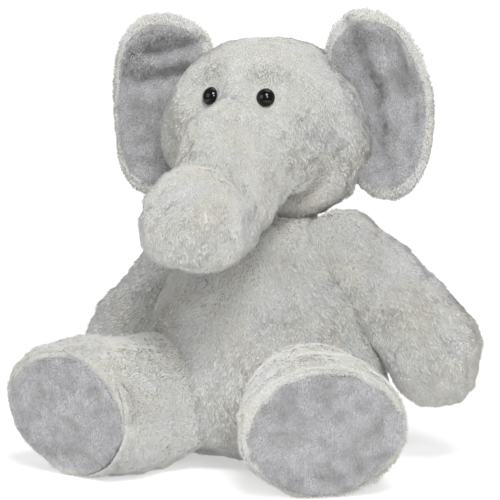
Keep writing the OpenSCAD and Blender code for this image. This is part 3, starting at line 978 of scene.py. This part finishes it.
@dataclass
class Arm(Part):
    """A stuffed arm that tapers to the shoulder and bows a little outwards."""

    side: Side
    drop: float = 49.0
    back: float = 8.0
    bow: float = 6.0
    thin: float = 1.5

    def way(self) -> np.ndarray:
        """The way from the shoulder to the arm's end."""
        drop, back = math.radians(self.drop), math.radians(self.back)
        return self.side.out((math.cos(drop) * math.cos(back), math.cos(drop) * math.sin(back), -math.sin(drop)))

    def build(self) -> None:
        """Builds the arm's skin."""
        shoulder, way = joint_place(f"arm_{self.side.word}_swing"), self.way()
        outer = unit(np.cross(np.cross(way, self.side.out((1, 0, 0.2))), way))
        levels = ((-27, 0), (-25, 13), (-15, 25), (0, 29.5), (30, 31.5), (60, 34.5), (86, 36.5), (103, 36.5),
                  (119, 32), (130, 24), (136.5, 14), (139, 5), (139.5, 0))
        sections = []
        for along, radius in levels:
            bow = self.bow * math.sin(math.pi * min(max(along / 120, 0), 1))
            r = max(radius - self.thin, 0) if along > 0 and radius > 9 else radius
            sections.append(Section(tuple(shoulder + way * along + outer * bow), r, r, r))
        form = StuffedForm(f"arm_{self.side.word}_skin", sections, reference=(0, 0, 1), segments=80, rings=80,
                           seams=(Seam(60, 0.2, 0.97), Seam(240, 0.2, 0.97)), seed=40 + self.side.value)
        self.skins = [form.build()]

    def finish(self, cloths: Cloths, others: Sequence[bpy.types.Object]) -> None:
        """Grows the pile and dresses the arm."""
        word = self.side.word
        shoulder, way = joint_place(f"arm_{word}_swing"), self.way()
        self.hinge = ("torso", f"arm_{word}", shoulder - way * 12, shoulder + way * 34)
        pile = grow_pile(f"arm_{word}_pile", self.skins[0], LONG_PILE, towards(way + (0, 0, -0.3)),
                         lambda p: ~buried(p, others, 3), seed=44 + self.side.value)
        self.dress(pile, cloths.plush_pile, "plush")
        self.stuffed(self.skins[0], cloths.plush_ground, "plush", 0.8,
                     [f"arm_{word}_{part}" for part in ("upper", "under", "stuffing")])


@dataclass
class Leg(Part):
    """A stuffed leg that widens to a foot, with a grey sole set inside its rim."""

    side: Side
    splay: float = 30.0
    length: float = 82.0
    foot_half_w: float = 58.5
    foot_half_h: float = 49.0
    pitch: float = 12.0
    toe_in: float = 0.0
    sole_inset: float = 5.5

    def ways(self) -> tuple[np.ndarray, np.ndarray]:
        """The way along the leg, and the way that the sole faces."""
        splay, aim = math.radians(self.splay), math.radians(self.splay - self.toe_in)
        way = self.side.out((math.sin(splay), -math.cos(splay), 0))
        face = self.side.out((math.sin(aim), -math.cos(aim), -math.tan(math.radians(self.pitch))))
        return way, unit(face)

    def ankle(self) -> np.ndarray:
        """The middle of the foot where the sole's rim starts."""
        return joint_place(f"leg_{self.side.word}_lift") + self.ways()[0] * self.length

    def build(self) -> None:
        """Builds the leg's skin and the sole."""
        word = self.side.word
        hip, (way, face) = joint_place(f"leg_{word}_lift"), self.ways()
        w, h, ankle = self.foot_half_w, self.foot_half_h, self.ankle()
        root = ((-42, 0, 0), (-40, 14, 14), (-30, 32, 32), (-12, 43, 43), (8, 48, 47.5), (32, 51, 49), (56, 55, 49.5))
        sections = [Section(tuple(hip + way * along), across, tall, tall) for along, across, tall in root]
        rim = ((-6, 0, 0), (2, 1.0, 1.0), (5, 3.5, 3.5), (6, 7.5, 7.5), (5, 12, 12), (4, 24, 22), (4, 0, 0))
        for along, cut_w, cut_h in rim[:-1]:
            sections.append(Section(tuple(ankle + face * along), w - cut_w, h - cut_h, h - cut_h))
        sections.append(Section(tuple(ankle + face * rim[-1][0])))
        form = StuffedForm(f"leg_{word}_skin", sections, segments=96, rings=96,
                           seams=(Seam(90, 0.1, 0.62), Seam(270, 0.1, 0.62)), seed=50 + self.side.value)
        skin = form.build()
        pad = ((2, 0.0), (2.2, 0.7), (4, 0.97), (6.5, 1.0), (8.6, 0.9), (10, 0.62), (10.8, 0.3), (11, 0.0))
        sections = [Section(tuple(ankle + face * along), (w - self.sole_inset) * share, (h - self.sole_inset) * share,
                            (h - self.sole_inset) * share) for along, share in pad]
        sole = StuffedForm(f"sole_{word}_pad", sections, segments=96, rings=48, lump=0.7, seed=54 + self.side.value)
        self.skins = [skin, sole.build()]

    def finish(self, cloths: Cloths, others: Sequence[bpy.types.Object]) -> None:
        """Grows both piles and dresses the leg."""
        word = self.side.word
        hip, (way, face) = joint_place(f"leg_{word}_lift"), self.ways()
        self.hinge = ("torso", f"leg_{word}", hip - way * 30, hip + way * 24)
        skin, sole = self.skins
        ankle = self.ankle()
        pile = grow_pile(f"leg_{word}_pile", skin, LONG_PILE, towards(way + (0, 0, -0.35)),
                         lambda p: ~buried(p, others, 3) & ~buried(p, [sole], 0.2) & (p[:, 2] > 0.9),
                         seed=60 + self.side.value,
                         trim=lambda p: np.clip(0.8 - (p - ankle) @ face / 12, 0.35, 1))
        short = grow_pile(f"sole_{word}_pile", sole, SHORT_PILE, towards(self.side.out((-0.6, 0.3, -1))),
                          lambda p: (p - ankle) @ face > 3.5, seed=64 + self.side.value)
        self.dress(pile, cloths.plush_pile, "plush")
        self.dress(short, cloths.lining_pile, "lining")
        self.stuffed(skin, cloths.plush_ground, "plush", 0.8,
                     [f"leg_{word}_{part}" for part in ("upper", "under", "stuffing")])
        self.stuffed(sole, cloths.lining_ground, "lining", 0.5, [f"sole_{word}"])


@dataclass
class Tail(Part):
    """A short tail with a tuft of longer grey pile."""

    length: float = 54.0
    radius: float = 6.0
    drop: float = 26.0
    tuft_share: float = 0.6

    def way(self) -> np.ndarray:
        """The way from the tail's root to its tip."""
        return np.array([0, math.cos(math.radians(self.drop)), -math.sin(math.radians(self.drop))])

    def build(self) -> None:
        """Builds the bare part and the core of the tuft."""
        root, way, r = joint_place("tail_lift"), self.way(), self.radius
        bare = self.length * self.tuft_share
        levels = ((-12, 0), (-11, 4), (-5, r), (6, r), (bare - 3, r), (bare, 3.5), (bare + 0.6, 0))
        sections = [Section(tuple(root + way * along), size, size, size) for along, size in levels]
        skin = StuffedForm("tail_plush", sections, segments=32, rings=32, lump=0.2, seed=70).build()
        levels = ((bare - 4, 0), (bare - 3, 3.5), (bare + 4, r), (self.length - 8, 5), (self.length - 4, 0))
        sections = [Section(tuple(root + way * along), size, size, size) for along, size in levels]
        tuft = StuffedForm("tail_tuft_core", sections, segments=32, rings=24, lump=0.2, seed=71).build()
        self.skins = [skin, tuft]

    def finish(self, cloths: Cloths, others: Sequence[bpy.types.Object]) -> None:
        """Grows both piles and dresses the tail."""
        root, way = joint_place("tail_lift"), self.way()
        self.hinge = ("torso", "tail", root - way * 8, root + way * 8)
        skin, tuft = self.skins
        short = grow_pile("tail_pile", skin, replace(LONG_PILE, length=4.0), towards(way),
                          lambda p: ~buried(p, others, 2), seed=72)
        tassel = grow_pile("tail_tassel", tuft, replace(LONG_PILE, length=11.0, lift=16, per_mm2=1.4),
                           towards(way), everywhere, seed=73)
        self.dress(short, cloths.plush_pile, "plush")
        self.dress(tassel, cloths.lining_pile, "lining")
        self.stuffed(skin, cloths.plush_ground, "plush", 0.7, ["tail_skin"])
        self.stuffed(tuft, cloths.lining_ground, "lining", 0.5, ["tail_tuft"])


# ---------------------------------------------------------------- studio


@dataclass(frozen=True)
class Studio:
    """A white floor, a white room, soft lights and the camera."""

    target: Point = (-12.4, -5.3, 156.5)
    azimuth: float = 23.0
    elevation: float = 7.0
    distance: float = 2000.0
    frame_width: float = 375.0
    sensor: float = 36.0
    room_light: float = 0.28
    backdrop: float = 1.1
    floor_glow: float = 0.4

    def build(self) -> None:
        """Sets up the whole studio."""
        scene = bpy.context.scene
        scene.view_settings.view_transform = "Standard"
        self.add_floor()
        self.add_room()
        self.add_light("key", (800, -1350, 1800), 700, 26.0)
        self.add_light("fill", (-1100, -1700, 900), 1300, 9.0)
        self.add_light("top", (200, 500, 1900), 1200, 6.0)
        self.add_light("catchlight", (1050, -1500, 900), 380, 8.0)
        self.add_camera()

    def aim(self, thing: bpy.types.Object, place: Point) -> None:
        """Puts a camera or light at place, looking at the target."""
        thing.location = Vector(place) * MM
        way = (Vector(self.target) - Vector(place))
        thing.rotation_euler = way.to_track_quat("-Z", "Y").to_euler()

    def add_camera(self) -> None:
        """Puts the camera to the elephant's left of straight ahead, a little above it."""
        data = bpy.data.cameras.new("camera")
        data.sensor_width = self.sensor
        data.lens = self.sensor * self.distance / self.frame_width
        camera = bpy.data.objects.new("camera", data)
        bpy.context.scene.collection.objects.link(camera)
        turn, tilt = math.radians(self.azimuth), math.radians(self.elevation)
        way = Vector((math.sin(turn) * math.cos(tilt), -math.cos(turn) * math.cos(tilt), math.sin(tilt)))
        self.aim(camera, tuple(Vector(self.target) + way * self.distance))
        bpy.context.scene.camera = camera

    def add_light(self, name: str, place: Point, size: float, power: float) -> None:
        """Adds one soft square light, aimed at the elephant.

        Args:
            name: The light's name.
            place: Where it stands, in millimetres.
            size: The length of its side.
            power: In watts.
        """
        data = bpy.data.lights.new(name, "AREA")
        data.shape = "SQUARE"
        data.size = size * MM
        data.energy = power
        light = bpy.data.objects.new(name, data)
        bpy.context.scene.collection.objects.link(light)
        self.aim(light, place)

    def add_floor(self) -> None:
        """Lays a white floor, lit a little from below as a light table is."""
        deselect_all()
        bpy.ops.mesh.primitive_circle_add(vertices=128, radius=0.75, fill_type="NGON")
        floor = bpy.context.object
        floor.name = "floor"
        material, _, shader = new_material("white_paper")
        set_inputs(shader, {"Base Color": linear("#fafafa"), "Roughness": 0.9, "Specular IOR Level": 0.0,
                            "Emission Color": linear("#ffffff"), "Emission Strength": self.floor_glow})
        floor.data.materials.append(material)

    def add_room(self) -> None:
        """Fills the room with even light before a white backdrop."""
        world = bpy.data.worlds.new("room")
        world.use_nodes = True
        tree = world.node_tree
        back = tree.nodes["Background"]
        back.inputs["Color"].default_value = linear("#ffffff")
        seen = add_node(tree, "ShaderNodeLightPath").outputs["Is Camera Ray"]
        strength = add_node(tree, "ShaderNodeMapRange",
                            {"Value": seen, "To Min": self.room_light, "To Max": self.backdrop})
        tree.links.new(strength.outputs["Result"], back.inputs["Strength"])
        bpy.context.scene.world = world


def main() -> None:
    """Builds the studio and the elephant, part by part."""
    logging.basicConfig(level=logging.INFO, format="%(name)s: %(message)s", stream=sys.stdout)
    Studio().build()
    cloths = Cloths.woven()
    torso, neck, head, tail = Torso(), Neck(), Head(), Tail()
    ears = [
        Ear(Side.LEFT, half_w=41.5, folds=(Crease(((60, 0, 326), (74, 0, 298), (84, 0, 250)), 10.0, 8.0),
                                           Crease(((100, 0, 322), (108, 0, 280)), 5.0, 7.0))),
        Ear(Side.RIGHT, half_w=40.0, lower=5.0, folds=(Crease(((-58, 0, 312), (-96, 0, 304)), 9.0, 5.5),
                                                       Crease(((-60, 0, 290), (-114, 0, 280)), 10.0, 6.5)))]
    arms = [Arm(Side.LEFT), Arm(Side.RIGHT, drop=53.5, bow=0.0, thin=4.0)]
    legs = [Leg(Side.LEFT), Leg(Side.RIGHT, splay=29.0, length=84.0, toe_in=13.0)]
    for part in (torso, neck, head, *ears, *arms, *legs, tail):
        part.build()
    trunk_and_head, body = head.skins, torso.skins
    torso.finish(cloths, [skin for limb in (*arms, *legs) for skin in limb.skins[:1]] + trunk_and_head)
    neck.finish(cloths)
    head.finish(cloths, body + [ear.skins[0] for ear in ears])
    for ear in ears:
        ear.finish(cloths, trunk_and_head)
    for arm in arms:
        arm.finish(cloths, body)
    for leg in legs:
        leg.finish(cloths, body)
    tail.finish(cloths, body)
    dress_node("blank_label", LABEL.material())


if __name__ == "__main__":
    main()
